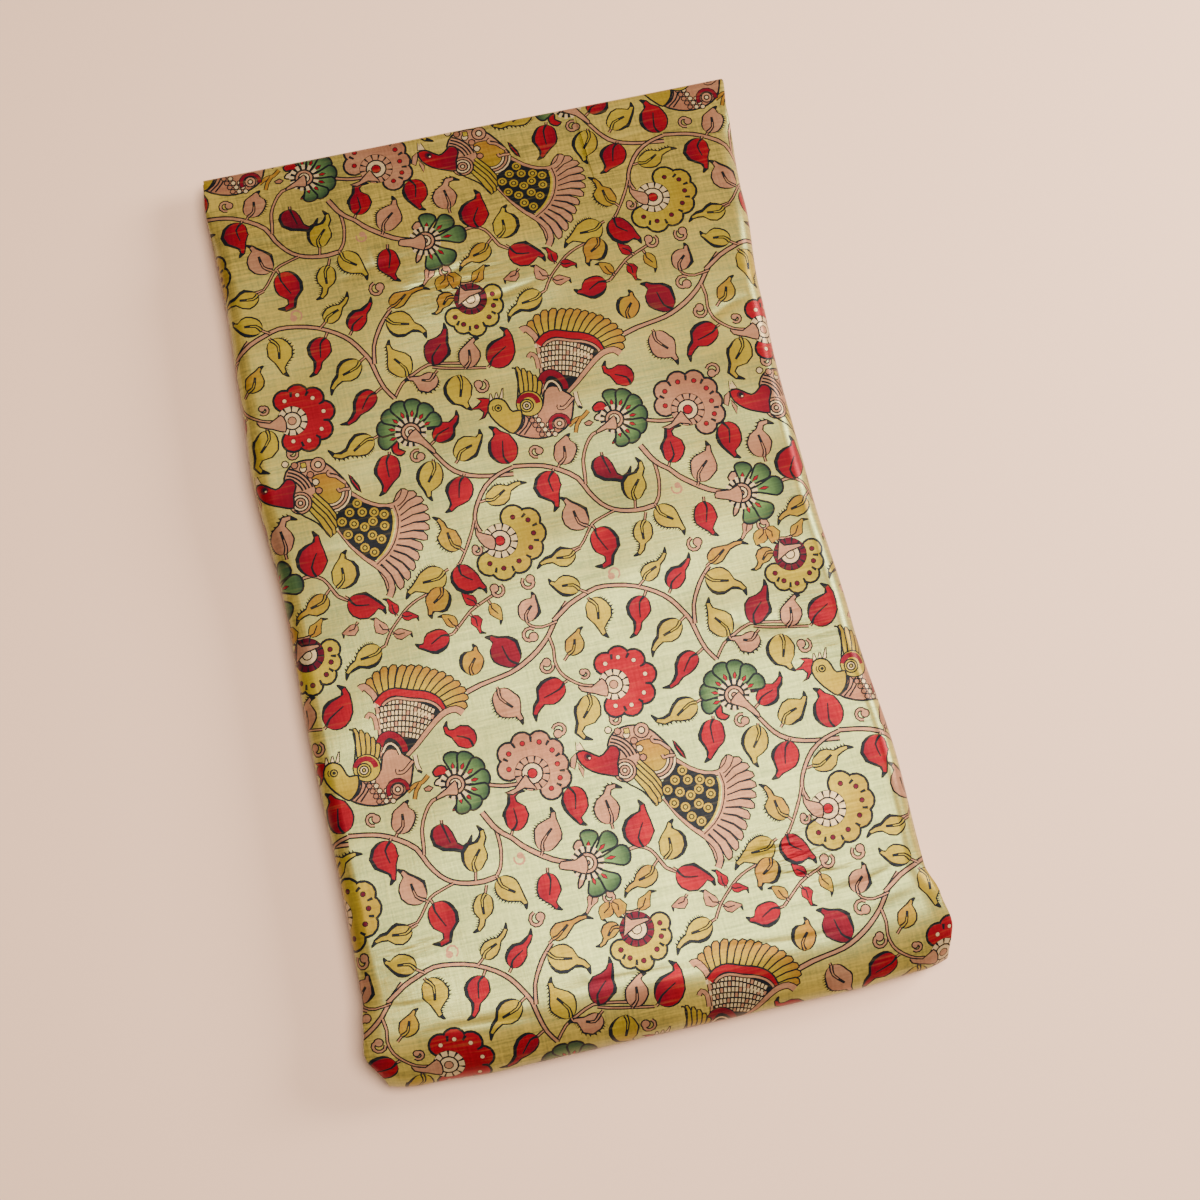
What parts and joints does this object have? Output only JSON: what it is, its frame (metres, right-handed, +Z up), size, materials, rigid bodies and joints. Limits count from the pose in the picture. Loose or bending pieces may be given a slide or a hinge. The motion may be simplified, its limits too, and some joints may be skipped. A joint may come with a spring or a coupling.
{
  "type": "folded length of printed tussar silk fabric",
  "caption": "Printed tussar silk cloth folded to and fro into a flat oblong bundle, with a fat rolled fold at its foot and a gentle slope at its head.",
  "frame": {"origin": "on the surface that the bundle lies on, under the middle of its box", "axes": "+Z up through the layers, +Y along the bundle from the rolled foot to the sloping head, +X across it to the flared side"},
  "size_m": [0.3766, 0.6226, 0.0355],
  "materials": {
    "printed_silk": "slubby silk with a soft sheen, printed all over in red, ochre, pink, green and black"
  },
  "bodies": {
    "root": {"folded_cloth": "printed_silk"}
  },
  "joints": []
}
